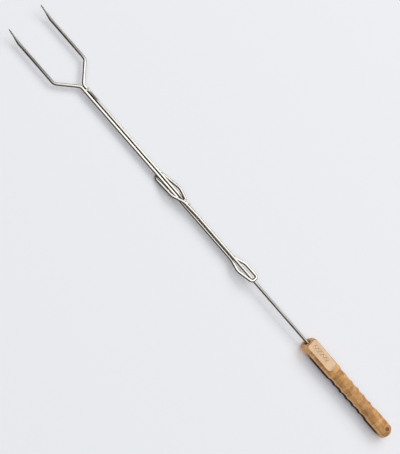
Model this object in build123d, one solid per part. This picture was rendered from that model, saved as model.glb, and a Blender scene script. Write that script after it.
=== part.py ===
"""Extending marshmallow roasting fork: a wire fork that slides along a wooden-handled rod.

The fork is one steel wire bent double. Its two ends are the tines, its two legs lie side by
side as the shank, and the closed end is spread into a guide eye that passes over the rod.
The rod is one steel wire too: it lies in the groove on top of the shank, and its front end is
bent into a second guide eye that passes under the shank. The grip is a turned wooden handle.

Frame: X runs from the tines (-X) to the handle (+X), Y is across the tines, Z is up from the
surface that the fork lies on. The origin is under the middle of the fork's length. All in mm.
"""
import os
from math import sqrt

from build123d import *

# Driving dimensions
WIRE = 3.6                 # diameter of both steel wires
LEG_PITCH = 4.0            # between the centre lines of the shank's two legs
RUNNING_GAP = 0.4          # free play between the rod and the shank
TINE_PITCH = 51.0          # between the centre lines of the tines
TIP_RISE = 5.0             # height that the tine tips are bent up by
TIP_RADIUS = 0.85          # at the foot of each point
HANDLE_FRONT_RADIUS = 10.2
HANDLE_REAR_RADIUS = 9.6
HANDLE_LENGTH = 147.5
WAVE_COUNT = 6             # finger grooves turned in the handle
WAVE_PITCH = 10.95
WAVE_DEPTH = 1.1
HANG_HOLE_RADIUS = 2.7

# Stations along the fork, measured from the tine tips
TIP_BEND = 19.2
SHOULDER = 78.1
NECK = 99.5
NECK_WELD = 106.3
FRONT_EYE_END = 231.4      # centre line of the rod's closed front end
FRONT_EYE_WIDE = 259.3
ROD_BEND = 274.0           # where the rod turns out into its eye
STOP_WELD = 280.4
ROD_STRAIGHT = 294.0
REAR_EYE_START = 359.7
REAR_EYE_WIDE = 374.0
REAR_EYE_END = 394.2       # centre line of the shank's closed rear end
HANDLE_FRONT = 486.9
OVERALL = HANDLE_FRONT + HANDLE_LENGTH

# Heights, from the surface up: front eye, shank, rod, rear eye
LAYER = WIRE + RUNNING_GAP
LEG_Y = LEG_PITCH / 2
NEST = sqrt(LAYER**2 - LEG_Y**2)               # the rod nests between the shank's legs
SHANK_Z = HANDLE_FRONT_RADIUS - NEST           # the handle rests on the surface
ROD_Z = SHANK_Z + NEST
REAR_EYE_Z = ROD_Z + LAYER

# Details
POINT_LENGTH = 2.2         # blunt point at each tine's tip
EYE_HALF = 7.3             # half width of the front eye, on its centre line
REAR_EYE_HALF = 6.9
ROD_EYE_CORNER = 5.0       # half width of the front eye's closed end
SHANK_EYE_CORNER = 4.4
TAIL_GAP = 0.15            # between the eye's cut end and the rod it is welded to
TANG = 58.0                # length of rod inside the handle
BORE_RADIUS = 2.3
MOUTH_RADIUS = 3.3         # clearance mouth that the rod enters through
MOUTH_DEPTH = 6.0
MOUTH_EDGE = 0.8           # countersink round the mouth
GLUE_START = 10.0          # the adhesive begins this far behind the handle's front
NOSE_TILT = 20.0           # degrees that the front face leans back by
NOSE_SET = 2.8             # from the handle's front to that face, on the axis
NOSE_ROUND = 3.2
TAIL_ROUND = 8.6
FLAT_HEIGHT = 7.0          # of the label flat above the handle's axis
FLAT_END = 45.4            # distances along the handle from its front
FLAT_RUNOUT = 5.0          # radius of the cutter at the flat's rear end
WAVES_START = 49.5
HANG_HOLE_AT = 139.8
SINK_DEPTH = 1.1           # of the hanging hole's countersink
SINK_SIZE = 3.0            # height and spread of the cone that cuts it
WELD_LENGTH = 2.6          # along the fork
WELD_RAISE = 0.6           # height of the neck weld above the wire
STOP_RAISE = 1.3           # height of the stop weld, enough to meet the eye's cut end
WELD_GAP = 0.3             # between a leg weld and the rod that slides over it
WELD_FILL = 2.4            # height of weld metal in the groove between the legs
WELD_EDGE = 0.4
EYE_BEAD = 1.7             # radius of the bead that closes the front eye
RIDGE_ROUND = 1.6          # of the ridges between the grip's waves


def at(station, y=0.0, z=0.0):
    """A point given by its station from the tine tips."""
    return Vector(station - OVERALL / 2, y, z)


def bent_wire(points, radii, diameter=WIRE):
    """A round wire along straight runs joined by tangent bends."""
    path = FilletPolyline(*points, radius=radii)
    start = Plane(origin=path @ 0, z_dir=path % 0)
    return sweep(start * Circle(diameter / 2), path=path)


def tine_point(base, tip):
    """The tapered end of a tine: a long cone that ends in a short blunt point."""
    axis = tip - base
    taper = axis.length - POINT_LENGTH
    foot = Plane(origin=base, z_dir=axis)
    cone = Cone(WIRE / 2, TIP_RADIUS, taper, align=(Align.CENTER, Align.CENTER, Align.MIN))
    point = Cone(TIP_RADIUS, TIP_RADIUS / 4, POINT_LENGTH, align=(Align.CENTER, Align.CENTER, Align.MIN))
    return foot * (cone + Pos(0, 0, taper) * point)


def make_fork_wire():
    """One wire from tine tip to tine tip, through the shank and round its rear eye."""
    half = TINE_PITCH / 2
    tip = at(0, half, SHANK_Z + TIP_RISE)
    bend = at(TIP_BEND, half, SHANK_Z)
    base = bend + (tip - bend) * 0.16
    side = [
        base,
        bend,
        at(SHOULDER, half, SHANK_Z),
        at(NECK, LEG_Y, SHANK_Z),
        at(REAR_EYE_START, LEG_Y, SHANK_Z),
        at(REAR_EYE_WIDE, REAR_EYE_HALF, SHANK_Z + 2.4),
        at(REAR_EYE_END, SHANK_EYE_CORNER, REAR_EYE_Z),
    ]
    other = [Vector(p.X, -p.Y, p.Z) for p in reversed(side)]
    bends = [14, 7, 6, 14, 12, 4]
    wire = bent_wire(side + other, bends + bends[::-1])
    point = tine_point(base, tip)
    return wire + point + mirror(point, about=Plane.XZ)


def make_handle_rod():
    """One wire from its end in the handle to the front eye, whose cut end lies on the rod."""
    rod_line = [
        at(HANDLE_FRONT + TANG, 0, ROD_Z),
        at(ROD_STRAIGHT, 0, ROD_Z),
        at(ROD_BEND, -2.0, SHANK_Z + 5.0),
        at(FRONT_EYE_WIDE, -EYE_HALF, SHANK_Z + 2.4),
    ]
    eye_line = [
        at(FRONT_EYE_END, -ROD_EYE_CORNER, SHANK_Z - LAYER),
        at(FRONT_EYE_END, ROD_EYE_CORNER, SHANK_Z - LAYER),
        at(FRONT_EYE_WIDE, EYE_HALF, SHANK_Z + 2.4),
    ]
    tail = [eye_line[-1], at(ROD_BEND + 2, 0.4, SHANK_Z + 5.3)]
    body = bent_wire(rod_line + eye_line, [20, 14, 12, 4.3, 4.3])
    neck = bent_wire(rod_line[1:], [14], WIRE + 2 * TAIL_GAP)
    end = bent_wire([eye_line[1], *tail], [12]) - neck
    return body + end


def make_eye_weld(rod):
    """The weld that closes the front eye, in the corner between its cut end and the rod."""
    bead = Pos(at(ROD_BEND - 0.6, -0.1, SHANK_Z + 5.4)) * Sphere(EYE_BEAD)
    return bead - rod


def make_leg_weld(station, raised):
    """A weld on the far leg of the shank that fills the groove to the near leg, clear of the rod."""
    ring = Cylinder(WIRE / 2 + raised, WELD_LENGTH, rotation=(0, 90, 0))
    band = fillet(ring.edges().filter_by(GeomType.CIRCLE), WELD_EDGE)
    groove = Pos(0, -LEG_Y, 0) * Box(WELD_LENGTH, WIRE / 2, WELD_FILL)
    blob = Pos(at(station, LEG_Y, SHANK_Z)) * (band + groove)
    rod_way = Pos(at(station, 0, ROD_Z)) * Cylinder(WIRE / 2 + WELD_GAP, 10, rotation=(0, 90, 0))
    leg = Cylinder(WIRE / 2, 10, rotation=(0, 90, 0))
    for side in (-LEG_Y, LEG_Y):
        blob -= Pos(at(station, side, SHANK_Z)) * leg
    return blob - rod_way


def handle_profile():
    """Half the handle's outline, front to rear: uncut front, grip waves and domed tail."""
    front = HANDLE_FRONT_RADIUS
    rear = HANDLE_REAR_RADIUS
    waves_end = WAVES_START + WAVE_COUNT * WAVE_PITCH
    blank = -NOSE_SET
    lines = [Line((blank, 0), (blank, front)), Line((blank, front), (WAVES_START, front))]
    step = (front - rear) / WAVE_COUNT
    for wave in range(WAVE_COUNT):
        start = (WAVES_START + wave * WAVE_PITCH, front - wave * step)
        end = (start[0] + WAVE_PITCH, start[1] - step)
        middle = ((start[0] + end[0]) / 2, (start[1] + end[1]) / 2 - WAVE_DEPTH)
        lines += [ThreePointArc(start, middle, end)]
    lines += [Line((waves_end, rear), (HANDLE_LENGTH - TAIL_ROUND, rear))]
    lines += [RadiusArc((HANDLE_LENGTH - TAIL_ROUND, rear), (HANDLE_LENGTH, rear - TAIL_ROUND), TAIL_ROUND)]
    lines += [Line((HANDLE_LENGTH, rear - TAIL_ROUND), (HANDLE_LENGTH, 0))]
    lines += [Line((HANDLE_LENGTH, 0), (blank, 0))]
    return make_face(Curve() + lines)


def flat_cutter():
    """The wood milled off for the label flat, open at the front and run out round at the rear."""
    top = HANDLE_FRONT_RADIUS + 5
    open_end = -2 * NOSE_SET
    corner = (FLAT_END - FLAT_RUNOUT, FLAT_HEIGHT)
    rise = (FLAT_END, FLAT_HEIGHT + FLAT_RUNOUT)
    outline = [
        Line((open_end, top), (open_end, FLAT_HEIGHT)),
        Line((open_end, FLAT_HEIGHT), corner),
        RadiusArc(corner, rise, -FLAT_RUNOUT),
        Line(rise, (FLAT_END, top)),
        Line((FLAT_END, top), (open_end, top)),
    ]
    section = Plane.XZ * make_face(Curve() + outline)
    return extrude(section, amount=HANDLE_FRONT_RADIUS + 5, both=True)


def cut_nose(body):
    """The front cut off square to a line that leans back, with its edge rounded, and bored."""
    face = Pos(NOSE_SET, 0, 0) * Rot(0, NOSE_TILT, 0)
    body -= face * Pos(-20, 0, 0) * Box(40, 60, 60)
    front = body.faces().filter_by(GeomType.PLANE).sort_by(Axis.X)[0]
    body = fillet(front.edges(), NOSE_ROUND)
    along = (0, 90, 0)
    near = (Align.CENTER, Align.CENTER, Align.MIN)
    body -= Cylinder(BORE_RADIUS, TANG + 1, rotation=along, align=near)
    body -= Cylinder(MOUTH_RADIUS, NOSE_SET + MOUTH_DEPTH, rotation=along, align=near)
    edge = Cone(MOUTH_RADIUS + MOUTH_EDGE, MOUTH_RADIUS, MOUTH_EDGE, rotation=along, align=near)
    return body - face * edge


def make_handle():
    """The turned grip, with its rod bore, label flat and hanging hole."""
    profile = Plane.XZ * handle_profile()
    body = revolve(profile, axis=Axis.X)
    ridges = [
        e for e in body.edges().filter_by(GeomType.CIRCLE)
        if WAVES_START - 1 < e.arc_center.X < WAVES_START + WAVE_COUNT * WAVE_PITCH + 1
    ]
    body = cut_nose(fillet(ridges, RIDGE_ROUND))
    body -= flat_cutter()
    near = (Align.CENTER, Align.CENTER, Align.MIN)
    hole = Cylinder(HANG_HOLE_RADIUS, 4 * HANDLE_FRONT_RADIUS)
    cone = Cone(HANG_HOLE_RADIUS, HANG_HOLE_RADIUS + SINK_SIZE, SINK_SIZE, align=near)
    sink = Pos(0, 0, HANDLE_REAR_RADIUS - SINK_DEPTH) * cone
    body -= Pos(HANG_HOLE_AT, 0, 0) * (hole + sink + mirror(sink, about=Plane.XY))
    return Pos(at(HANDLE_FRONT, 0, ROD_Z)) * body


def make_adhesive():
    """The sleeve of cured adhesive that holds the rod in the handle's bore."""
    length = TANG - GLUE_START
    near = (Align.CENTER, Align.CENTER, Align.MIN)
    sleeve = Cylinder(BORE_RADIUS, length, rotation=(0, 90, 0), align=near)
    sleeve -= Cylinder(WIRE / 2, length, rotation=(0, 90, 0), align=near)
    return Pos(at(HANDLE_FRONT + GLUE_START, 0, ROD_Z)) * sleeve


def main():
    handle_rod = make_handle_rod()
    parts = {
        "fork_wire": make_fork_wire(),
        "fork_neck_weld": make_leg_weld(NECK_WELD, WELD_RAISE),
        "fork_stop_weld": make_leg_weld(STOP_WELD, STOP_RAISE),
        "handle_rod": handle_rod,
        "rod_eye_weld": make_eye_weld(handle_rod),
        "handle_adhesive": make_adhesive(),
        "handle": make_handle(),
    }
    os.makedirs("parts", exist_ok=True)
    for name, shape in parts.items():
        shape.label = name
        export_step(shape, f"parts/{name}.step")
        print(name, len(shape.solids()), round(shape.volume, 1))


main()
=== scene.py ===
"""Extending marshmallow roasting fork: the finish of its wires, welds, adhesive and turned handle.

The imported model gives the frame. The two bent wires, the welds and the adhesive are worked out
again here as fine skins on the same routes. The turned handle keeps its shape and gets its wood.
Everything is in metres: X runs from the tines to the handle and Z is up from the surface.
"""

from math import cos, pi, radians, sin, sqrt

import bpy
import numpy as np
from bpy.props import FloatProperty, FloatVectorProperty, IntProperty, PointerProperty
from bpy.types import Operator, Panel, PropertyGroup
from mathutils import Matrix, Vector


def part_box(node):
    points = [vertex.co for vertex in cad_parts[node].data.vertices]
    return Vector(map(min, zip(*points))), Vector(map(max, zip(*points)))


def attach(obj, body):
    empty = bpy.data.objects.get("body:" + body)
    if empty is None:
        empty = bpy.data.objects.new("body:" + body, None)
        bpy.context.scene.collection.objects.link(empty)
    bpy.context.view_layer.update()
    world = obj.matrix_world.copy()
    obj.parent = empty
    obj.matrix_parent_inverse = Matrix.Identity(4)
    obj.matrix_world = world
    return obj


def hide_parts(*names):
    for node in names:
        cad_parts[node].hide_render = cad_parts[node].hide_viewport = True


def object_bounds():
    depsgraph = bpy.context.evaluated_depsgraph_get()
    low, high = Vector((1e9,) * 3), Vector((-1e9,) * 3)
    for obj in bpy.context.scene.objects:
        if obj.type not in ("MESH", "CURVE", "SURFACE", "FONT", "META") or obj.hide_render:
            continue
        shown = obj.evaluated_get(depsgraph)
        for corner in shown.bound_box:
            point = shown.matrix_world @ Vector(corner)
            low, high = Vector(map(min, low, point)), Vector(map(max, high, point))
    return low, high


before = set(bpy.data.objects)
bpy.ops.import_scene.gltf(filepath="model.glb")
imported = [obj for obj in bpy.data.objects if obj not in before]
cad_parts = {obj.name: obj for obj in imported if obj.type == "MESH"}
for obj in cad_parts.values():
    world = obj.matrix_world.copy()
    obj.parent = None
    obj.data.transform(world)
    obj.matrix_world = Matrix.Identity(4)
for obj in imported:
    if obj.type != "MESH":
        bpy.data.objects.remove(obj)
CAD_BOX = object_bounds()

bl_info = {
    "name": "Marshmallow Roasting Fork",
    "version": (1, 0, 0),
    "blender": (4, 5, 0),
    "location": "View3D > Sidebar > Roasting Fork",
    "description": "Makes the wires, welds, adhesive and handle of an extending roasting fork",
    "category": "Object",
}

MM = 0.001
HANDLE_LOW, HANDLE_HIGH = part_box("handle")
ROD_Z = (HANDLE_LOW.z + HANDLE_HIGH.z) / 2
TIPS_X = CAD_BOX[0].x


# ---------------------------------------------------------------- settings

def size(default, name, description):
    """A length that is given in millimetres and held in metres."""
    return FloatProperty(
        name=name, description=description, default=default * MM, unit="LENGTH", precision=5, min=0.0
    )


def colour(default, name, description):
    return FloatVectorProperty(
        name=name, description=description, default=default, subtype="COLOR", size=3, min=0.0, max=1.0
    )


def angle(default, name, description):
    return FloatProperty(name=name, description=description, default=radians(default), subtype="ANGLE")


class RoastingForkSizes(PropertyGroup):
    """Sizes of the two wires. Stations are measured along the fork from the tine tips."""

    wire: size(3.6, "Wire", "Diameter of both steel wires")
    leg_pitch: size(4.0, "Leg Pitch", "Between the centre lines of the shank's two legs")
    running_gap: size(0.4, "Running Gap", "Free play between the rod and the shank")
    tine_pitch: size(51.0, "Tine Pitch", "Between the centre lines of the tines")
    tip_rise: size(5.0, "Tip Rise", "Height that the tine tips are bent up by")
    tip_radius: size(0.85, "Tip Radius", "Radius of a tine just behind its point")
    point: size(2.2, "Point", "Length of the blunt point at each tine's tip")
    tip_bend: size(19.2, "Tip Bend", "Station at which the tines turn up")
    shoulder: size(78.1, "Shoulder", "Station of the tines' shoulders")
    neck: size(99.5, "Neck", "Station at which the two legs meet")
    front_eye_wide: size(259.3, "Front Eye Wide", "Station at which the rod's eye is widest")
    front_eye_half: size(7.3, "Front Eye Half Width", "Half width of the rod's eye on its centre line")
    rod_bend: size(274.0, "Rod Bend", "Station at which the rod turns out into its eye")
    rod_straight: size(294.0, "Rod Straight", "Station from which the rod runs straight")
    rear_eye_start: size(359.7, "Rear Eye Start", "Station at which the legs spread into their eye")
    rear_eye_wide: size(374.0, "Rear Eye Wide", "Station at which the shank's eye is widest")
    rear_eye_half: size(6.9, "Rear Eye Half Width", "Half width of the shank's eye on its centre line")
    handle_length: size(147.5, "Handle Length", "Length of the handle's blank, from its front")
    neck_raise: size(0.6, "Neck Weld Height", "Height of the neck weld above the wire")
    stop_raise: size(1.3, "Stop Weld Height", "Height of the stop weld above the wire")
    dark_band: size(127.0, "Dark Band", "From the wire's first tip, along it, to the scorch behind the neck")
    sides: IntProperty(name="Sides", description="Faces round each wire", default=40, min=12, max=96)


class RoastingForkFinish(PropertyGroup):
    """Colours and sizes of the finishes."""

    nickel: colour((0.86, 0.81, 0.73), "Nickel", "Bright plating on the fork's wire")
    rod_steel: colour((0.74, 0.69, 0.61), "Rod Steel", "Drawn steel of the rod")
    # Painted shade: the colour that the wires' flanks and undersides are darkened to.
    flank_shade: colour((0.075, 0.062, 0.045), "Flank Shade", "Darker flanks and undersides of both wires")
    # Darkening of the tines, of the rod's rear part and, as painted shade, of the second shoulder.
    darkening: colour((0.085, 0.078, 0.068), "Darkening", "Darkened steel of the tines and of the rod's rear part")
    weld: colour((0.66, 0.63, 0.59), "Weld", "Plated weld metal")
    epoxy: colour((0.10, 0.055, 0.022), "Epoxy", "Cured adhesive in the handle's bore")
    # Painted shade: the dark colour laid along the handle's lower sides and under it.
    wood_light: colour((0.93, 0.50, 0.17), "Wood Light", "Early wood under the lacquer")
    wood_dark: colour((0.46, 0.18, 0.036), "Wood Dark", "Late wood under the lacquer")
    stain: colour((0.05, 0.014, 0.006), "Underside Shade", "Dark stain along the handle's lower sides and under it")
    # The bare wood colour also makes the painted reflection line along the handle's sides.
    wood_bare: colour((0.96, 0.66, 0.41), "Bare Wood", "Sanded and worn wood, and the hanging hole's wall")
    burnt: colour((0.33, 0.155, 0.07), "Burnt", "The zigzag burnt into the label flat")
    ring_gap: size(2.6, "Ring Gap", "Between the growth rings of the handle's wood")


class RoastingForkStudio(PropertyGroup):
    """The camera and the light."""

    azimuth: angle(10.0, "Azimuth", "Turn of the view about the vertical, from square on to the fork")
    elevation: angle(61.5, "Elevation", "Height of the view above the surface")
    roll: angle(57.79, "Roll", "Turn of the picture about the line of sight")
    distance: FloatProperty(
        name="Distance", description="From the camera to its target", default=1.473, unit="LENGTH"
    )
    lens: FloatProperty(name="Lens", description="Focal length in millimetres", default=102.5, min=1.0)
    target: FloatVectorProperty(
        name="Target",
        description="Point in the middle of the picture",
        default=(-0.0096, -0.0058, 0.0085),
        size=3,
    )
    floor: colour((0.81, 0.812, 0.83), "Floor", "Pale surface that the fork lies on")
    key_power: FloatProperty(name="Key Power", description="Power of the soft light, in watts", default=107.0)
    sky_power: FloatProperty(name="Sky Power", description="Light from all round", default=1.15)
    floor_glow: FloatProperty(name="Floor Glow", description="Light that the floor gives", default=0.2)


# ---------------------------------------------------------------- surfaces

def unit(vectors):
    """Each vector divided by its length."""
    return vectors / np.linalg.norm(vectors, axis=-1, keepdims=True)


def corner_arc(before, corner, after, radius, step=radians(4)):
    """The round part of a bent wire's centre line at one corner.

    The arc's centre lies on the corner's bisector, one radius over the sine of the half angle from
    the corner. From there each point is the first spoke times the cosine of the turn so far, plus
    the direction of travel times the radius and the sine of it.
    """
    back, on = unit(before - corner), unit(after - corner)
    half = np.arccos(np.clip(back @ on, -1, 1)) / 2
    centre = corner + unit(back + on) * radius / np.sin(half)
    spoke = corner + back * radius / np.tan(half) - centre
    turn = np.linspace(0, pi - 2 * half, max(3, int((pi - 2 * half) / step) + 2))[:, None]
    return centre + spoke * np.cos(turn) - back * radius * np.sin(turn)


def bent_line(points, radii, gap=3 * MM):
    """A bent wire's centre line: straight runs, cut into short lengths, joined by tangent arcs."""
    points = np.array(points, float)
    arcs = [corner_arc(*points[i : i + 3], radius) for i, radius in enumerate(radii)]
    ends = [points[:1], *arcs, points[-1:]]
    line = [ends[0]]
    for arc in ends[1:]:
        start, stop = line[-1][-1], arc[0]
        count = max(1, int(np.linalg.norm(stop - start) / gap))
        share = np.linspace(0, 1, count + 1)[1:, None]
        line += [start + (stop - start) * share, arc[1:]]
    return np.concatenate(line)


def distance_along(line):
    """How far each point lies along a line."""
    steps = np.linalg.norm(np.diff(line, axis=0), axis=1)
    return np.concatenate([[0.0], np.cumsum(steps)])


def tube(line, radius, sides):
    """A ring of points round each point of a line.

    The ring lies across the line's direction. Its first axis is level, the second is square to
    both, and a point is the middle plus the radius times cosine and sine of its place on them.
    """
    ahead = unit(np.gradient(line, axis=0))
    level = unit(np.cross([0.0, 0.0, 1.0], ahead))
    raised = np.cross(ahead, level)
    turn = np.arange(sides) * 2 * pi / sides
    ring = level[:, None] * np.cos(turn)[:, None] + raised[:, None] * np.sin(turn)[:, None]
    radius = np.broadcast_to(radius, len(line))
    return line[:, None] + ring * radius[:, None, None]


def skin(name, grid, along=None, facet_angle=40):
    """A closed mesh over a grid of rings: quads between the rings and a fan over each end.

    The UV map called sweep holds metres along the rings and metres round the middle ring, so that
    a pattern can follow the surface.
    """
    rows, columns = grid.shape[:2]
    points = np.concatenate([grid.reshape(-1, 3), grid[:1].mean(1), grid[-1:].mean(1)])
    row, column = np.meshgrid(np.arange(rows - 1), np.arange(columns), indexing="ij")
    after = (column + 1) % columns
    here, beyond = row * columns, (row + 1) * columns
    quads = np.stack([here + column, here + after, beyond + after, beyond + column], -1).reshape(-1, 4)
    ring = np.arange(columns)
    turned = (ring + 1) % columns
    first = np.stack([np.full(columns, rows * columns), turned, ring], -1)
    last_ring = (rows - 1) * columns
    last = np.stack([np.full(columns, rows * columns + 1), last_ring + ring, last_ring + turned], -1)
    a, b, c = points[quads[:, 0]], points[quads[:, 1]], points[quads[:, 2]]
    middle = points.mean(0)
    inside_out = np.einsum("ij,ij->i", a - middle, np.cross(b - middle, c - middle)).sum() < 0
    faces = [*quads.tolist(), *first.tolist(), *last.tolist()]
    if inside_out:
        faces = [face[::-1] for face in faces]
    mesh = bpy.data.meshes.new(name)
    mesh.from_pydata(points.tolist(), [], faces)
    if along is None:
        along = distance_along(grid.mean(1))
    girth = np.linalg.norm(grid[rows // 2] - np.roll(grid[rows // 2], 1, axis=0), axis=1).sum()
    u0, u1 = along[row], along[row + 1]
    v0, v1 = column * girth / columns, (column + 1) * girth / columns
    corners = [np.stack(corner, -1) for corner in ((u0, v0), (u0, v1), (u1, v1), (u1, v0))]
    side_uv = np.stack(corners, 2).reshape(-1, 4, 2)
    if inside_out:
        side_uv = side_uv[:, ::-1]
    ring_uv = np.stack([np.zeros(columns), ring * girth / columns], -1)
    cap_uv = np.repeat(np.concatenate([ring_uv, ring_uv + [along[-1], 0]]), 3, axis=0)
    layer = mesh.uv_layers.new(name="sweep")
    layer.data.foreach_set("uv", np.concatenate([side_uv.reshape(-1, 2), cap_uv]).astype(np.float32).ravel())
    mesh.shade_smooth()
    mesh.set_sharp_from_angle(angle=radians(facet_angle))
    piece = bpy.data.objects.new(name, mesh)
    bpy.context.scene.collection.objects.link(piece)
    return piece


def mark(piece, name, values):
    """A value at each vertex, for a material to read."""
    attribute = piece.data.attributes.new(name, "FLOAT", "POINT")
    attribute.data.foreach_set("value", np.asarray(values, np.float32))


def ring_marks(rings, sides):
    """One value for each ring, given to all its points and to the two end points."""
    return np.concatenate([np.repeat(rings, sides), rings[:1], rings[-1:]])


def undersides(grid):
    """How far each point of a tube faces down, from nought on top to one at the very bottom."""
    spokes = unit(grid - grid.mean(1, keepdims=True))
    return np.concatenate([((1 - spokes[..., 2]) / 2).ravel(), [0.5, 0.5]])


def lumps(points, scale, seed):
    """Smooth uneven values about zero: a sum of seven sine waves in seeded directions."""
    chance = np.random.default_rng(seed)
    ways = unit(chance.normal(size=(7, 3))) * scale * chance.uniform(0.6, 1.6, (7, 1))
    phases = chance.uniform(0, 2 * pi, 7)
    return np.sin(points @ ways.T + phases).mean(-1)


def settle(piece, body, slot, material, *nodes):
    """The piece rides on its body, takes its material and stands for its nodes; its slot is not used."""
    piece.data.materials.clear()
    piece.data.materials.append(material)
    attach(piece, body)
    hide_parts(*nodes)


# ---------------------------------------------------------------- routes

def heights(sizes):
    """Heights of the shank's and the eyes' centre lines: each layer rests in the one below."""
    layer = sizes.wire + sizes.running_gap
    nest = sqrt(layer**2 - (sizes.leg_pitch / 2) ** 2)
    shank = ROD_Z - nest
    return {"layer": layer, "shank": shank, "front_eye": shank - layer, "rear_eye": ROD_Z + layer}


def at(station, y, z):
    """A point given by its station from the tine tips."""
    return (TIPS_X + station, y, z)


def fork_route(sizes):
    """The fork wire's route: tine, shoulder, leg and rear eye, then the same back again."""
    z = heights(sizes)
    half, leg = sizes.tine_pitch / 2, sizes.leg_pitch / 2
    eye_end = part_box("fork_wire")[1].x - sizes.wire / 2
    side = [
        at(0.1 * MM, half, z["shank"] + sizes.tip_rise),
        at(sizes.tip_bend, half, z["shank"]),
        at(sizes.shoulder, half, z["shank"]),
        at(sizes.neck, leg, z["shank"]),
        at(sizes.rear_eye_start, leg, z["shank"]),
        at(sizes.rear_eye_wide, sizes.rear_eye_half, z["shank"] + 2.4 * MM),
        (eye_end, 4.4 * MM, z["rear_eye"]),
    ]
    other = [(x, -y, height) for x, y, height in reversed(side)]
    bends = [radius * MM for radius in (14, 7, 6, 14, 12, 4)]
    return side + other, bends + bends[::-1]


def rod_route(sizes):
    """The rod's route: out of the handle, into the eye, round under the shank and back to itself."""
    z = heights(sizes)
    eye_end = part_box("handle_rod")[0].x + sizes.wire / 2
    wide = sizes.front_eye_half
    route = [
        (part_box("handle_rod")[1].x, 0, ROD_Z),
        at(sizes.rod_straight, 0, ROD_Z),
        at(sizes.rod_bend, -2 * MM, z["shank"] + 5 * MM),
        at(sizes.front_eye_wide, -wide, z["shank"] + 2.4 * MM),
        (eye_end, -5 * MM, z["front_eye"]),
        (eye_end, 5 * MM, z["front_eye"]),
        at(sizes.front_eye_wide, wide, z["shank"] + 2.4 * MM),
        at(sizes.rod_bend - 0.5 * MM, 1.9 * MM, z["shank"] + 4.85 * MM),
    ]
    return route, [radius * MM for radius in (20, 14, 12, 4.3, 4.3, 12)]


# ---------------------------------------------------------------- material tools

def put(tree, kind, **values):
    """A node with some of its settings, and its inputs where the name has an underscore first."""
    node = tree.nodes.new(kind)
    for name, value in values.items():
        if name.startswith("_"):
            node.inputs[name[1:].replace("_", " ")].default_value = value
        else:
            setattr(node, name, value)
    return node


def maths(tree, operation, *terms):
    """A Math node of linked sockets and plain numbers."""
    node = tree.nodes.new("ShaderNodeMath")
    node.operation = operation
    for place, term in enumerate(terms):
        if isinstance(term, (int, float)):
            node.inputs[place].default_value = term
        else:
            tree.links.new(term, node.inputs[place])
    return node.outputs[0]


def times(tree, first, second):
    return maths(tree, "MULTIPLY", first, second)


def plus(tree, first, second):
    return maths(tree, "ADD", first, second)


def minus(tree, first, second):
    return maths(tree, "SUBTRACT", first, second)


def reach_of(tree, first, second):
    """The length of a line with these two parts square to each other."""
    return maths(tree, "SQRT", plus(tree, times(tree, first, first), times(tree, second, second)))


def ramp_between(tree, value, low, high, to_low=0.0, to_high=1.0):
    """The value eased from one range to another."""
    node = put(tree, "ShaderNodeMapRange", interpolation_type="SMOOTHSTEP")
    tree.links.new(value, node.inputs["Value"])
    for name, number in (("From Min", low), ("From Max", high), ("To Min", to_low), ("To Max", to_high)):
        node.inputs[name].default_value = number
    return node.outputs["Result"]


def blend_colours(tree, share, first, second, kind="MIX"):
    """One colour laid over another. Either may be a socket or a plain colour."""
    node = put(tree, "ShaderNodeMix", data_type="RGBA", blend_type=kind)
    for socket, value in ((node.inputs[0], share), (node.inputs[6], first), (node.inputs[7], second)):
        if isinstance(value, bpy.types.NodeSocket):
            tree.links.new(value, socket)
        elif isinstance(value, (int, float)):
            socket.default_value = value
        else:
            socket.default_value = (*value, 1.0)
    return node.outputs[2]


def noise_of(tree, vector, scale, detail=3.0, roughness=0.55):
    node = put(tree, "ShaderNodeTexNoise", _Scale=scale, _Detail=detail, _Roughness=roughness)
    tree.links.new(vector, node.inputs["Vector"])
    return node.outputs["Fac"]


def stretched(tree, vector, scale, location=(0, 0, 0)):
    node = put(tree, "ShaderNodeMapping", _Scale=scale, _Location=location)
    tree.links.new(vector, node.inputs["Vector"])
    return node.outputs["Vector"]


def new_group(name, inputs, outputs):
    """An empty shader node group with named sockets."""
    tree = bpy.data.node_groups.new(name, "ShaderNodeTree")
    for label, kind, default in inputs:
        socket = tree.interface.new_socket(name=label, in_out="INPUT", socket_type=kind)
        socket.default_value = default
    for label, kind in outputs:
        tree.interface.new_socket(name=label, in_out="OUTPUT", socket_type=kind)
    return tree, tree.nodes.new("NodeGroupInput"), tree.nodes.new("NodeGroupOutput")


FLOAT, COLOUR = "NodeSocketFloat", "NodeSocketColor"


def drawn_metal_group():
    """Marks of drawing and handling: long scratches along the wire, small pits and smudges."""
    if "drawn metal" in bpy.data.node_groups:
        return bpy.data.node_groups["drawn metal"]
    tree, given, made = new_group(
        "drawn metal",
        [("Streaks", FLOAT, 0.5), ("Pits", FLOAT, 0.3)],
        [("Height", FLOAT), ("Gloss", FLOAT), ("Shade", FLOAT)],
    )
    sweep = put(tree, "ShaderNodeUVMap", uv_map="sweep").outputs["UV"]
    place = put(tree, "ShaderNodeTexCoord").outputs["Object"]
    streak = noise_of(tree, stretched(tree, sweep, (60, 3600, 1)), 1.0, 4.0, 0.62)
    broad = noise_of(tree, stretched(tree, sweep, (25, 420, 1), (0.3, 0.7, 0)), 1.0, 3.0)
    pits = noise_of(tree, place, 2600.0, 2.0)
    smudge = noise_of(tree, place, 75.0, 4.0, 0.6)
    pit = ramp_between(tree, pits, 0.62, 0.74)
    streaks = times(tree, streak, given.outputs["Streaks"])
    dents = times(tree, pit, given.outputs["Pits"])
    tree.links.new(minus(tree, streaks, dents), made.inputs["Height"])
    gloss = plus(tree, times(tree, smudge, 0.6), times(tree, streak, 0.4))
    tree.links.new(ramp_between(tree, gloss, 0.32, 0.68), made.inputs["Gloss"])
    shade = minus(tree, ramp_between(tree, broad, 0.3, 0.7), times(tree, dents, 0.8))
    tree.links.new(shade, made.inputs["Shade"])
    return tree


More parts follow.
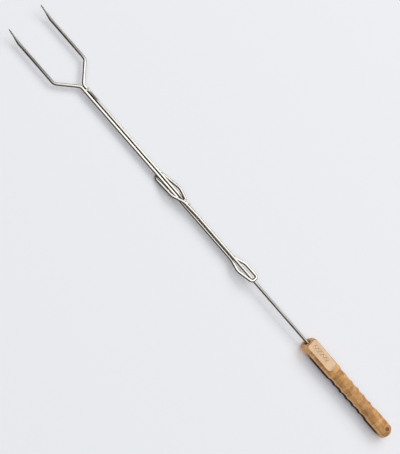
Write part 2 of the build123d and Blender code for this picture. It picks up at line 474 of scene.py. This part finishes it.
def heat_tint_group():
    """Colour that heat leaves on plated steel, from clean through straw and brown to blue grey."""
    if "heat tint" in bpy.data.node_groups:
        return bpy.data.node_groups["heat tint"]
    tree, given, made = new_group(
        "heat tint", [("Clean", COLOUR, (0.8, 0.8, 0.8, 1)), ("Heat", FLOAT, 0.0)], [("Color", COLOUR)]
    )
    place = put(tree, "ShaderNodeTexCoord").outputs["Object"]
    uneven = times(tree, minus(tree, noise_of(tree, place, 260.0, 4.0), 0.5), 0.5)
    heat = given.outputs["Heat"]
    uneven = times(tree, uneven, maths(tree, "MINIMUM", times(tree, heat, 4.0), 1.0))
    heat = plus(tree, heat, uneven)
    clean = given.outputs["Clean"]
    straw = blend_colours(tree, ramp_between(tree, heat, 0.1, 0.5), clean, (0.60, 0.44, 0.25))
    brown = blend_colours(tree, ramp_between(tree, heat, 0.45, 0.8), straw, (0.26, 0.15, 0.10))
    blue = blend_colours(tree, ramp_between(tree, heat, 0.8, 1.1), brown, (0.12, 0.13, 0.16))
    tree.links.new(blue, made.inputs["Color"])
    return tree


def use_group(tree, group, **inputs):
    node = put(tree, "ShaderNodeGroup", node_tree=group)
    for name, value in inputs.items():
        if isinstance(value, bpy.types.NodeSocket):
            tree.links.new(value, node.inputs[name])
        else:
            node.inputs[name].default_value = value
    return node


def new_material(name):
    """A material with an unlinked Principled shader. Returns it, its tree and the shader."""
    material = bpy.data.materials.new(name)
    material.use_nodes = True
    tree = material.node_tree
    return material, tree, tree.nodes["Principled BSDF"]


def raise_surface(tree, shader, height, strength, distance):
    bump = put(tree, "ShaderNodeBump", _Strength=strength, _Distance=distance)
    tree.links.new(height, bump.inputs["Height"])
    tree.links.new(bump.outputs["Normal"], shader.inputs["Normal"])


# ---------------------------------------------------------------- materials

def drawn_steel(name, finish, clean, streaks, pits, rough_low, rough_high):
    """Bright drawn wire: lengthwise scratches, small pits, a smudged gloss and painted shade on its flanks.

    The piece's underside attribute says where the painted flank shade lies, its heat attribute how far heat
    has tinted it and its darkening attribute how far its colour is darkened.
    """
    material, tree, shader = new_material(name)
    shader.inputs["Metallic"].default_value = 1.0
    marks = use_group(tree, drawn_metal_group(), Streaks=streaks, Pits=pits)
    heat = put(tree, "ShaderNodeAttribute", attribute_name="heat").outputs["Fac"]
    darkening = put(tree, "ShaderNodeAttribute", attribute_name="darkening").outputs["Fac"]
    base = use_group(tree, heat_tint_group(), Clean=(*clean, 1.0), Heat=heat).outputs["Color"]
    base = blend_colours(tree, darkening, base, tuple(finish.darkening))
    dull = [0.80 * part for part in clean]
    share = ramp_between(tree, marks.outputs["Shade"], 0.0, 1.0, 0.35, 0.0)
    base = blend_colours(tree, share, base, dull)
    under = put(tree, "ShaderNodeAttribute", attribute_name="underside").outputs["Fac"]
    uneven = times(tree, minus(tree, marks.outputs["Shade"], 0.5), 0.06)
    # Painted shade: the flanks and undersides are darkened towards the flank shade colour, for the shade and
    # dark reflections that fall there.
    flank_shade_share = ramp_between(tree, plus(tree, under, uneven), 0.07, 0.22, 0.0, 0.94)
    tree.links.new(blend_colours(tree, flank_shade_share, base, tuple(finish.flank_shade)), shader.inputs["Base Color"])
    rough = ramp_between(tree, marks.outputs["Gloss"], 0.0, 1.0, rough_low, rough_high)
    tree.links.new(rough, shader.inputs["Roughness"])
    raise_surface(tree, shader, marks.outputs["Height"], 0.12, 0.01 * MM)
    return material


def weld_material(finish):
    """Plated weld metal: lumpy, a little dull, with a breath of straw colour."""
    material, tree, shader = new_material("weld metal")
    shader.inputs["Metallic"].default_value = 1.0
    place = put(tree, "ShaderNodeTexCoord").outputs["Object"]
    marks = use_group(tree, drawn_metal_group(), Streaks=0.2, Pits=0.8)
    patch = ramp_between(tree, noise_of(tree, place, 420.0, 3.0), 0.4, 0.75, 0.0, 0.45)
    tint = use_group(tree, heat_tint_group(), Clean=(*finish.weld, 1.0), Heat=patch)
    tree.links.new(tint.outputs["Color"], shader.inputs["Base Color"])
    rough = ramp_between(tree, marks.outputs["Gloss"], 0.0, 1.0, 0.26, 0.46)
    tree.links.new(rough, shader.inputs["Roughness"])
    ripples = plus(tree, noise_of(tree, place, 1100.0, 3.0), marks.outputs["Height"])
    raise_surface(tree, shader, ripples, 0.5, 0.05 * MM)
    return material


def epoxy_material(finish):
    """Cured adhesive: dark, glossy, with bubbles."""
    material, tree, shader = new_material("cured adhesive")
    shader.inputs["IOR"].default_value = 1.54
    place = put(tree, "ShaderNodeTexCoord").outputs["Object"]
    cloud = noise_of(tree, place, 700.0, 3.0)
    pale = [part * 2.4 for part in finish.epoxy]
    clouded = blend_colours(tree, ramp_between(tree, cloud, 0.4, 0.8), tuple(finish.epoxy), pale)
    tree.links.new(clouded, shader.inputs["Base Color"])
    bubbles = put(tree, "ShaderNodeTexVoronoi", _Scale=2600.0)
    tree.links.new(place, bubbles.inputs["Vector"])
    tree.links.new(ramp_between(tree, cloud, 0.3, 0.7, 0.12, 0.3), shader.inputs["Roughness"])
    raise_surface(tree, shader, ramp_between(tree, bubbles.outputs["Distance"], 0.0, 0.3), 0.4, 0.05 * MM)
    return material


def wood_figure_group():
    """Hardwood figure about a board's axis: growth rings, grain lines, pores and lathe marks.

    The rings are a wave in the distance from a pith that lies below the handle, bent by noise.
    """
    if "wood figure" in bpy.data.node_groups:
        return bpy.data.node_groups["wood figure"]
    tree, given, made = new_group(
        "wood figure",
        [("Ring Gap", FLOAT, 0.0026)],
        [("Rings", FLOAT), ("Grain", FLOAT), ("Pores", FLOAT), ("Turning", FLOAT), ("Cloud", FLOAT)],
    )
    place = put(tree, "ShaderNodeTexCoord").outputs["Object"]
    parts = put(tree, "ShaderNodeSeparateXYZ")
    tree.links.new(place, parts.inputs[0])
    drift = noise_of(tree, stretched(tree, place, (9, 60, 60)), 1.0, 3.0)
    swirl = noise_of(tree, stretched(tree, place, (28, 260, 260), (0.4, 0.1, 0.9)), 1.0, 4.0)
    y = plus(tree, parts.outputs["Y"], 9 * MM)
    z = plus(tree, parts.outputs["Z"], 16 * MM)
    lean = times(tree, parts.outputs["X"], 0.035)
    squares = plus(tree, times(tree, y, y), times(tree, z, z))
    depth = plus(tree, maths(tree, "SQRT", squares), lean)
    depth = plus(tree, depth, times(tree, drift, 7 * MM))
    depth = plus(tree, depth, times(tree, swirl, 0.9 * MM))
    ring = maths(tree, "FRACT", maths(tree, "DIVIDE", depth, given.outputs["Ring Gap"]))
    late = maths(tree, "POWER", ring, 2.2)
    edge = ramp_between(tree, ring, 0.93, 1.0, 1.0, 0.0)
    tree.links.new(times(tree, late, edge), made.inputs["Rings"])
    grain = noise_of(tree, stretched(tree, place, (45, 1500, 1500)), 1.0, 5.0, 0.6)
    tree.links.new(grain, made.inputs["Grain"])
    pore = noise_of(tree, stretched(tree, place, (170, 3800, 3800), (0.2, 0.5, 0.1)), 1.0, 1.0)
    tree.links.new(ramp_between(tree, pore, 0.64, 0.72), made.inputs["Pores"])
    turning = noise_of(tree, stretched(tree, place, (1500, 12, 12)), 1.0, 3.0, 0.65)
    tree.links.new(turning, made.inputs["Turning"])
    cloud = noise_of(tree, stretched(tree, place, (210, 75, 75), (0.6, 0.2, 0.3)), 1.0, 3.0)
    tree.links.new(cloud, made.inputs["Cloud"])
    return tree


def zigzag_mask(tree, x, y, start, length, pitch, rise, line):
    """One where a burnt zigzag between two rules lies on the flat, and nought elsewhere."""
    along = minus(tree, x, start)
    wave = minus(tree, maths(tree, "PINGPONG", along, pitch / 2), pitch / 4)
    height = times(tree, wave, 4 * rise / pitch)
    away = maths(tree, "ABSOLUTE", minus(tree, y, height))
    stroke = ramp_between(tree, away, line, line * 1.5, 1.0, 0.0)
    rule_at = maths(tree, "ABSOLUTE", minus(tree, maths(tree, "ABSOLUTE", y), rise * 1.55))
    rule = ramp_between(tree, rule_at, line * 0.25, line * 0.5, 1.0, 0.0)
    begun = ramp_between(tree, along, 0.0, line / 2)
    inside = times(tree, begun, ramp_between(tree, along, length, length + line / 2, 1.0, 0.0))
    return times(tree, maths(tree, "MAXIMUM", stroke, rule), inside)


def handle_zones(tree, figure, place, front):
    """Masks of the handle's parts, and the flat's own two directions.

    Milled is the label flat, groove how far down a point lies in a finger groove, bore and wall the
    insides of the two holes. The sheen line and the underside shade are two bands along each side:
    a pale painted reflection, and below it painted shade that goes round the underside.
    """
    parts = put(tree, "ShaderNodeSeparateXYZ")
    tree.links.new(place, parts.inputs[0])
    x, y, z = parts.outputs
    above = minus(tree, z, ROD_Z)
    reach = reach_of(tree, y, above)
    radius = (HANDLE_HIGH.z - HANDLE_LOW.z) / 2
    milled = ramp_between(tree, reach, radius - 0.22 * MM, radius - 0.1 * MM, 1.0, 0.0)
    milled = times(tree, milled, maths(tree, "GREATER_THAN", above, 6.9 * MM))
    milled = times(tree, milled, maths(tree, "LESS_THAN", x, front + 46 * MM))
    groove = ramp_between(tree, reach, radius - 1.5 * MM, radius - 0.15 * MM, 1.0, 0.0)
    groove = times(tree, groove, maths(tree, "GREATER_THAN", x, front + 47 * MM))
    from_hole = reach_of(tree, y, minus(tree, x, HANDLE_HIGH.x - 7.7 * MM))
    uneven = times(tree, minus(tree, figure.outputs["Cloud"], 0.5), 1.2 * MM)
    low = plus(tree, above, uneven)
    # Painted reflection: a pale line along each side; painted shade: dark below it and round the underside.
    worn = ramp_between(tree, low, 2.0 * MM, 3.0 * MM)
    worn = times(tree, worn, ramp_between(tree, low, 3.4 * MM, 4.6 * MM, 0.6, 0.0))
    stain = ramp_between(tree, low, 1.4 * MM, 2.4 * MM, 0.96, 0.0)
    stain = times(tree, stain, ramp_between(tree, x, front + 10 * MM, front + 20 * MM))
    tail = HANDLE_HIGH.x - 14 * MM
    stain = times(tree, stain, ramp_between(tree, x, tail, tail + 6 * MM, 1.0, 0.0))
    return {
        "x": x,
        "y": y,
        "milled": milled,
        "groove": groove,
        "bore": ramp_between(tree, reach, 2.6 * MM, 4.2 * MM, 1.0, 0.0),
        "wall": ramp_between(tree, from_hole, 2.9 * MM, 3.7 * MM, 1.0, 0.0),
        "worn": worn,
        "stain": stain,
    }


def figured_tone(tree, figure):
    """How far each point is late wood, from the rings, grain, turning and cloud together."""
    tone = times(tree, figure.outputs["Rings"], 0.42)
    shares = (
        ("Grain", 0.35, 0.7, 0.0, 0.22),
        ("Turning", 0.35, 0.7, 0.0, 0.16),
        ("Cloud", 0.34, 0.66, -0.2, 0.5),
    )
    for name, low, high, least, most in shares:
        tone = plus(tree, tone, ramp_between(tree, figure.outputs[name], low, high, least, most))
    return maths(tree, "MINIMUM", maths(tree, "MAXIMUM", tone, 0.0), 1.0)


def lacquered_colour(tree, finish, figure, zones, tone):
    """The turned wood under its lacquer."""
    groove_shade_colour = [part * 0.7 for part in finish.wood_dark]
    wood = blend_colours(tree, tone, tuple(finish.wood_light), tuple(finish.wood_dark))
    # Painted shade: the finger grooves are darkened towards the groove shade colour.
    wood = blend_colours(tree, times(tree, zones["groove"], 0.3), wood, groove_shade_colour)
    wood = blend_colours(tree, times(tree, figure.outputs["Pores"], 0.45), wood, (0.14, 0.055, 0.02))
    # Painted reflection and painted shade: the pale line along each side and the dark below it.
    wood = blend_colours(tree, zones["worn"], wood, tuple(finish.wood_bare))
    return blend_colours(tree, zones["stain"], wood, tuple(finish.stain))


def bare_colour(tree, finish, figure, tone, burn):
    """The sanded wood of the label flat, with its burnt zigzag."""
    shaded = [part * 0.78 for part in finish.wood_bare]
    bare = blend_colours(tree, times(tree, tone, 0.55), tuple(finish.wood_bare), shaded)
    bare = blend_colours(tree, times(tree, figure.outputs["Pores"], 0.3), bare, (0.35, 0.2, 0.1))
    return blend_colours(tree, burn, bare, tuple(finish.burnt))


def handle_material(sizes, finish):
    """Turned hardwood under golden lacquer, bare and paler on the milled label flat."""
    material, tree, shader = new_material("lacquered handle wood")
    place = put(tree, "ShaderNodeTexCoord").outputs["Object"]
    figure = use_group(tree, wood_figure_group(), **{"Ring Gap": finish.ring_gap})
    front = HANDLE_HIGH.x - sizes.handle_length
    zones = handle_zones(tree, figure, place, front)
    across = minus(tree, zones["y"], 0.7 * MM)
    sizes_of_zigzag = {"length": 25 * MM, "pitch": 4.6 * MM, "rise": 1.7 * MM, "line": 0.42 * MM}
    burn = zigzag_mask(tree, zones["x"], across, front + 9 * MM, **sizes_of_zigzag)
    burn = times(tree, burn, ramp_between(tree, figure.outputs["Grain"], 0.25, 0.5, 0.55, 0.95))
    tone = figured_tone(tree, figure)
    wood = lacquered_colour(tree, finish, figure, zones, tone)
    bare = bare_colour(tree, finish, figure, tone, burn)
    surface = blend_colours(tree, zones["milled"], wood, bare)
    # Painted shade: the rod's bore and the ring round its mouth are darkened.
    surface = blend_colours(tree, times(tree, zones["bore"], 0.75), surface, (0.16, 0.07, 0.025))
    surface = blend_colours(tree, times(tree, zones["wall"], 0.7), surface, tuple(finish.wood_bare))
    tree.links.new(surface, shader.inputs["Base Color"])

    # The painted underside shade is also left without coat and with little specular.
    matt = maths(tree, "MAXIMUM", zones["milled"], zones["stain"])
    rough = ramp_between(tree, figure.outputs["Grain"], 0.3, 0.7, 0.46, 0.58)
    tree.links.new(plus(tree, rough, times(tree, matt, 0.14)), shader.inputs["Roughness"])
    tree.links.new(ramp_between(tree, matt, 0.0, 1.0, 0.3, 0.02), shader.inputs["Coat Weight"])
    specular = ramp_between(tree, zones["stain"], 0.0, 1.0, 0.4, 0.06)
    tree.links.new(specular, shader.inputs["Specular IOR Level"])
    shader.inputs["Coat Roughness"].default_value = 0.34
    shader.inputs["Coat IOR"].default_value = 1.5

    grain = minus(tree, times(tree, figure.outputs["Grain"], 0.3), times(tree, figure.outputs["Pores"], 0.5))
    relief = plus(tree, grain, times(tree, figure.outputs["Turning"], 0.5))
    relief = minus(tree, relief, times(tree, times(tree, burn, zones["milled"]), 2.0))
    raise_surface(tree, shader, relief, 0.25, 0.05 * MM)
    return material


def floor_material(studio):
    """A plain pale matt surface."""
    material, tree, shader = new_material("pale floor")
    shader.inputs["Base Color"].default_value = (*studio.floor, 1.0)
    shader.inputs["Roughness"].default_value = 0.9
    shader.inputs["Specular IOR Level"].default_value = 0.1
    shader.inputs["Emission Color"].default_value = (*studio.floor, 1.0)
    shader.inputs["Emission Strength"].default_value = studio.floor_glow
    return material


# ---------------------------------------------------------------- operators

class ROASTINGFORK_OT_stage(Operator):
    """Make the floor, the soft light, the surroundings and the camera"""

    bl_idname = "roasting_fork.stage"
    bl_label = "Stage"

    def execute(self, context):
        studio = context.scene.roasting_fork_studio
        self.lay_floor(studio)
        self.hang_lights(context, studio)
        self.place_camera(context, studio)
        return {"FINISHED"}

    def lay_floor(self, studio):
        reach = 12.0
        mesh = bpy.data.meshes.new("floor")
        corners = [(-reach, -reach, 0), (reach, -reach, 0), (reach, reach, 0), (-reach, reach, 0)]
        mesh.from_pydata([(x, y, CAD_BOX[0].z - 0.05 * MM) for x, y, _ in corners], [], [(0, 1, 2, 3)])
        floor = bpy.data.objects.new("floor", mesh)
        floor.data.materials.append(floor_material(studio))
        bpy.context.scene.collection.objects.link(floor)

    def hang_lights(self, context, studio):
        """A large soft light behind the fork, and surroundings that are dark near the horizon."""
        key = bpy.data.lights.new("key", "AREA")
        key.shape = "RECTANGLE"
        key.size, key.size_y = 5.2, 3.4
        key.energy = studio.key_power
        key.color = (1.0, 0.985, 0.96)
        lamp = bpy.data.objects.new("key", key)
        lamp.location = (0.2, 3.6, 3.9)
        lamp.rotation_euler = (-lamp.location).to_track_quat("-Z", "Y").to_euler()
        context.scene.collection.objects.link(lamp)

        world = bpy.data.worlds.new("surroundings")
        context.scene.world = world
        world.use_nodes = True
        tree = world.node_tree
        tree.nodes.clear()
        parts = put(tree, "ShaderNodeSeparateXYZ")
        tree.links.new(put(tree, "ShaderNodeTexCoord").outputs["Generated"], parts.inputs[0])
        glow = ramp_between(tree, parts.outputs["Z"], 0.52, 0.84, 0.03, 1.0)
        sky = put(tree, "ShaderNodeBackground", _Color=(0.94, 0.96, 1.0, 1.0))
        tree.links.new(times(tree, glow, studio.sky_power), sky.inputs["Strength"])
        backdrop = put(tree, "ShaderNodeBackground", _Color=(*studio.floor, 1.0), _Strength=1.0)
        seen = put(tree, "ShaderNodeLightPath").outputs["Is Camera Ray"]
        choice = put(tree, "ShaderNodeMixShader")
        tree.links.new(seen, choice.inputs[0])
        tree.links.new(sky.outputs[0], choice.inputs[1])
        tree.links.new(backdrop.outputs[0], choice.inputs[2])
        out = put(tree, "ShaderNodeOutputWorld")
        tree.links.new(choice.outputs[0], out.inputs["Surface"])
        context.scene.view_settings.view_transform = "Standard"

    def place_camera(self, context, studio):
        """The camera looks along its azimuth and down by its elevation, then rolls."""
        flat, drop = cos(studio.elevation), sin(studio.elevation)
        ahead = Vector((sin(studio.azimuth) * flat, cos(studio.azimuth) * flat, -drop))
        level = Vector((cos(studio.azimuth), -sin(studio.azimuth), 0.0))
        upright = level.cross(ahead)
        right = level * cos(studio.roll) + upright * sin(studio.roll)
        up = upright * cos(studio.roll) - level * sin(studio.roll)
        data = bpy.data.cameras.new("camera")
        data.lens = studio.lens
        data.sensor_width = 36.0
        data.clip_start, data.clip_end = 0.05, 50.0
        camera = bpy.data.objects.new("camera", data)
        turn = Matrix((right, up, -ahead)).transposed().to_4x4()
        camera.matrix_world = Matrix.Translation(Vector(studio.target) - ahead * studio.distance) @ turn
        context.scene.collection.objects.link(camera)
        context.scene.camera = camera


class ROASTINGFORK_OT_fork_wire(Operator):
    """Make the fork: one nickel-plated wire with two tines, two legs and a rear eye"""

    bl_idname = "roasting_fork.fork_wire"
    bl_label = "Fork Wire"

    def execute(self, context):
        sizes, finish = context.scene.roasting_fork_sizes, context.scene.roasting_fork_finish
        points, bends = fork_route(sizes)
        line = bent_line(points, bends, gap=1.5 * MM)
        along = distance_along(line)
        from_tip = np.minimum(along, along[-1] - along)
        grid = tube(line, self.wire_radius(sizes, from_tip), sizes.sides)
        piece = skin("fork_wire_bent", grid, along)
        heat = 0.95 * np.exp(-((from_tip / (5 * MM)) ** 2)) + 0.22 * np.exp(-from_tip / (60 * MM))
        mark(piece, "heat", ring_marks(heat, sizes.sides))
        mark(piece, "darkening", ring_marks(self.darkening(sizes, along, from_tip), sizes.sides))
        mark(piece, "underside", undersides(grid))
        steel = drawn_steel("nickel plated wire", finish, tuple(finish.nickel), 0.5, 0.35, 0.13, 0.27)
        settle(piece, "fork_section", "plated_steel", steel, "fork_wire")
        return {"FINISHED"}

    def darkening(self, sizes, along, from_tip):
        """How far the wire is darkened: on the tines, on the second shoulder and behind the neck.

        Each tine is dark up to its shoulder, by a soft step, and the part of the wire up to the
        neck less so; on the second shoulder this is painted shade. The dark band is a flat-topped
        bell on the first leg and fades along it.
        """
        soft = 3 * MM
        # Painted shade: the second half of the wire is darker up to the neck than the first.
        shoulder = np.where(along > along[-1] / 2, 0.45, 0.1)
        dark = (0.92 - shoulder) / (1 + np.exp((from_tip - sizes.shoulder) / soft))
        dark += shoulder / (1 + np.exp((from_tip - sizes.dark_band + 16 * MM) / soft))
        past = along - sizes.dark_band
        fading = 0.6 * np.exp(-past / (45 * MM)) * (past > 0)
        return np.maximum.reduce([dark, fading, 0.97 * np.exp(-((past / (9 * MM)) ** 4))])

    def wire_radius(self, sizes, from_tip):
        """The wire's radius: full up to the tip bend, drawn thin past it, then a blunt point.

        Past the bend it eases down by a smooth step, and over the last stretch it falls to nought
        as the square root of the distance that is left.
        """
        full, thin = sizes.wire / 2, sizes.tip_radius
        bend = np.hypot(sizes.tip_bend, sizes.tip_rise)
        share = np.clip((from_tip - 0.35 * bend) / (0.62 * bend), 0, 1)
        radius = thin + (full - thin) * share**2 * (3 - 2 * share)
        return radius * np.sqrt(np.clip(from_tip / sizes.point, 0.02, 1))


class ROASTINGFORK_OT_handle_rod(Operator):
    """Make the rod that comes out of the handle and ends in the front eye"""

    bl_idname = "roasting_fork.handle_rod"
    bl_label = "Handle Rod"

    def execute(self, context):
        sizes, finish = context.scene.roasting_fork_sizes, context.scene.roasting_fork_finish
        points, bends = rod_route(sizes)
        line = bent_line(points, bends, gap=1.5 * MM)
        along = distance_along(line)
        left = along[-1] - along
        radius = sizes.wire / 2 * np.sqrt(np.clip(left / (1.2 * MM), 0.55, 1))
        grid = tube(line, radius, sizes.sides)
        piece = skin("handle_rod_bent", grid, along)
        behind_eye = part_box("handle_rod")[1].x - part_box("fork_wire")[1].x
        # The rod is darker between the handle and the fork's rear eye.
        darkening = 0.62 / (1 + np.exp((along - behind_eye) / (3 * MM)))
        mark(piece, "heat", ring_marks(0 * along, sizes.sides))
        mark(piece, "darkening", ring_marks(darkening, sizes.sides))
        mark(piece, "underside", undersides(grid))
        steel = drawn_steel("drawn rod steel", finish, tuple(finish.rod_steel), 0.8, 0.5, 0.16, 0.30)
        settle(piece, "handle_section", "rod_steel", steel, "handle_rod")
        return {"FINISHED"}


class ROASTINGFORK_OT_leg_welds(Operator):
    """Make the two welds that join the fork's legs, at its neck and as the outward stop"""

    bl_idname = "roasting_fork.leg_welds"
    bl_label = "Leg Welds"

    def execute(self, context):
        sizes, finish = context.scene.roasting_fork_sizes, context.scene.roasting_fork_finish
        material = weld_material(finish)
        welds = (("fork_neck_weld", sizes.neck_raise), ("fork_stop_weld", sizes.stop_raise))
        for seed, (node, raised) in enumerate(welds):
            low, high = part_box(node)
            grid = self.bead(sizes, raised, (low.x + high.x) / 2, high.x - low.x, seed)
            piece = skin(node + "_bead", grid, facet_angle=60)
            settle(piece, "fork_section", "weld_metal", material, node)
        return {"FINISHED"}

    def bead(self, sizes, raised, middle, length, seed):
        """A lumpy band round the far leg with a lobe that fills the groove to the near leg.

        Round the leg's axis the radius is the wire's, plus a raised band that rounds off towards
        both ends, plus a bell-shaped lobe towards the near leg. Where that would come closer to
        the rod than the gap allows, the point is pushed straight away from the rod's axis.
        """
        rows, columns = 26, 64
        across = np.linspace(-1, 1, rows)[:, None]
        turn = (np.arange(columns) * 2 * pi / columns)[None, :]
        wire, shank = sizes.wire / 2, heights(sizes)["shank"]
        swell = np.sqrt(np.clip(1 - across**2, 0, 1)) ** 0.8
        towards = np.abs((turn + pi / 2 + pi) % (2 * pi) - pi)
        lobe = 1.7 * MM * np.exp(-((towards / 0.45) ** 2))
        out = wire - 0.12 * MM + (raised + 0.12 * MM + lobe) * swell
        x = middle + across * length / 2 * (1 + 0.06 * np.sin(3 * turn + seed))
        y = sizes.leg_pitch / 2 + out * np.sin(turn)
        z = shank + out * np.cos(turn)
        grid = np.stack(np.broadcast_arrays(x, y, z), -1)
        away = grid - [0, sizes.leg_pitch / 2, shank]
        away[..., 0] = 0
        grid = grid + unit(away) * (lumps(grid, 1900.0, seed) * 0.12 * MM * swell)[..., None]
        spoke = grid[..., 1:] - [0, ROD_Z]
        reach = np.linalg.norm(spoke, axis=-1, keepdims=True)
        clear = wire + 0.3 * MM
        grid[..., 1:] = [0, ROD_Z] + spoke * np.maximum(reach, clear) / reach
        return grid


class ROASTINGFORK_OT_eye_weld(Operator):
    """Make the weld that closes the rod's eye"""

    bl_idname = "roasting_fork.eye_weld"
    bl_label = "Eye Weld"

    def execute(self, context):
        sizes, finish = context.scene.roasting_fork_sizes, context.scene.roasting_fork_finish
        low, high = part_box("rod_eye_weld")
        middle = (np.array(low) + np.array(high)) / 2
        material = bpy.data.materials.get("weld metal") or weld_material(finish)
        piece = skin("rod_eye_weld_bead", self.bead(sizes, middle), facet_angle=60)
        settle(piece, "handle_section", "weld_metal", material, "rod_eye_weld")
        return {"FINISHED"}

    def bead(self, sizes, middle):
        """A lumpy egg, longest along the rod: a ball whose points move in and out by small waves."""
        rows, columns = 30, 48
        fall = np.linspace(0.02, pi - 0.02, rows)[:, None]
        turn = (np.arange(columns) * 2 * pi / columns)[None, :]
        out = np.sin(fall)
        ball = np.stack(np.broadcast_arrays(np.cos(fall), out * np.cos(turn), out * np.sin(turn)), -1)
        radii = np.array([2.3, 1.75, 1.55]) * MM
        grid = middle + ball * radii
        return grid + ball * (lumps(grid, 1500.0, 7) * 0.22 * MM)[..., None]


class ROASTINGFORK_OT_adhesive(Operator):
    """Make the adhesive that holds the rod in the handle's bore"""

    bl_idname = "roasting_fork.adhesive"
    bl_label = "Adhesive"

    def execute(self, context):
        sizes, finish = context.scene.roasting_fork_sizes, context.scene.roasting_fork_finish
        low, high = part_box("handle_adhesive")
        piece = skin("handle_adhesive_fill", self.sleeve(sizes, low, high), facet_angle=50)
        settle(piece, "handle_section", "adhesive", epoxy_material(finish), "handle_adhesive")
        return {"FINISHED"}

    def sleeve(self, sizes, low, high):
        """A sleeve turned about the rod: up the rod, over a hollow meniscus and back along the bore.

        Its outline is a closed loop of length and radius, and each ring is the loop at one turn.
        """
        inner, outer = sizes.wire / 2 - 0.05 * MM, (high.z - low.z) / 2 - 0.02 * MM
        share = np.linspace(0, 1, 9)
        dip = 0.8 * MM * 4 * share * (1 - share)
        front = np.stack([low.x + dip, inner + (outer - inner) * share], -1)
        back = np.stack([np.full(2, high.x), np.array([outer, inner])], -1)
        outline = np.concatenate([front, back])
        turn = np.linspace(0, 2 * pi, 49)[:, None]
        along, reach = outline[:, 0], outline[:, 1]
        grid = np.stack(
            np.broadcast_arrays(along[None, :], reach * np.cos(turn), ROD_Z + reach * np.sin(turn)), -1
        )
        return grid


class ROASTINGFORK_OT_handle(Operator):
    """Give the turned handle its lacquered wood and its bare label flat"""

    bl_idname = "roasting_fork.handle"
    bl_label = "Handle"

    def execute(self, context):
        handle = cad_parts["handle"]
        handle.data.materials.clear()
        sizes, finish = context.scene.roasting_fork_sizes, context.scene.roasting_fork_finish
        handle.data.materials.append(handle_material(sizes, finish))
        return {"FINISHED"}


OPERATORS = (
    ROASTINGFORK_OT_stage,
    ROASTINGFORK_OT_fork_wire,
    ROASTINGFORK_OT_handle_rod,
    ROASTINGFORK_OT_leg_welds,
    ROASTINGFORK_OT_eye_weld,
    ROASTINGFORK_OT_adhesive,
    ROASTINGFORK_OT_handle,
)


class ROASTINGFORK_PT_panel(Panel):
    """The roasting fork's pieces and settings"""

    bl_idname = "ROASTINGFORK_PT_panel"
    bl_label = "Roasting Fork"
    bl_space_type = "VIEW_3D"
    bl_region_type = "UI"
    bl_category = "Roasting Fork"

    def draw(self, context):
        for group in ("roasting_fork_sizes", "roasting_fork_finish", "roasting_fork_studio"):
            settings = getattr(context.scene, group)
            box = self.layout.box()
            for name in settings.__annotations__:
                box.prop(settings, name)
        for operator in OPERATORS:
            self.layout.operator(operator.bl_idname)


CLASSES = (RoastingForkSizes, RoastingForkFinish, RoastingForkStudio, *OPERATORS, ROASTINGFORK_PT_panel)


def register():
    for entry in CLASSES:
        bpy.utils.register_class(entry)
    bpy.types.Scene.roasting_fork_sizes = PointerProperty(type=RoastingForkSizes)
    bpy.types.Scene.roasting_fork_finish = PointerProperty(type=RoastingForkFinish)
    bpy.types.Scene.roasting_fork_studio = PointerProperty(type=RoastingForkStudio)


def unregister():
    del bpy.types.Scene.roasting_fork_studio
    del bpy.types.Scene.roasting_fork_finish
    del bpy.types.Scene.roasting_fork_sizes
    for entry in reversed(CLASSES):
        bpy.utils.unregister_class(entry)


def main():
    register()
    for operator in OPERATORS:
        group, name = operator.bl_idname.split(".")
        getattr(getattr(bpy.ops, group), name)()


if __name__ == "__main__":
    main()
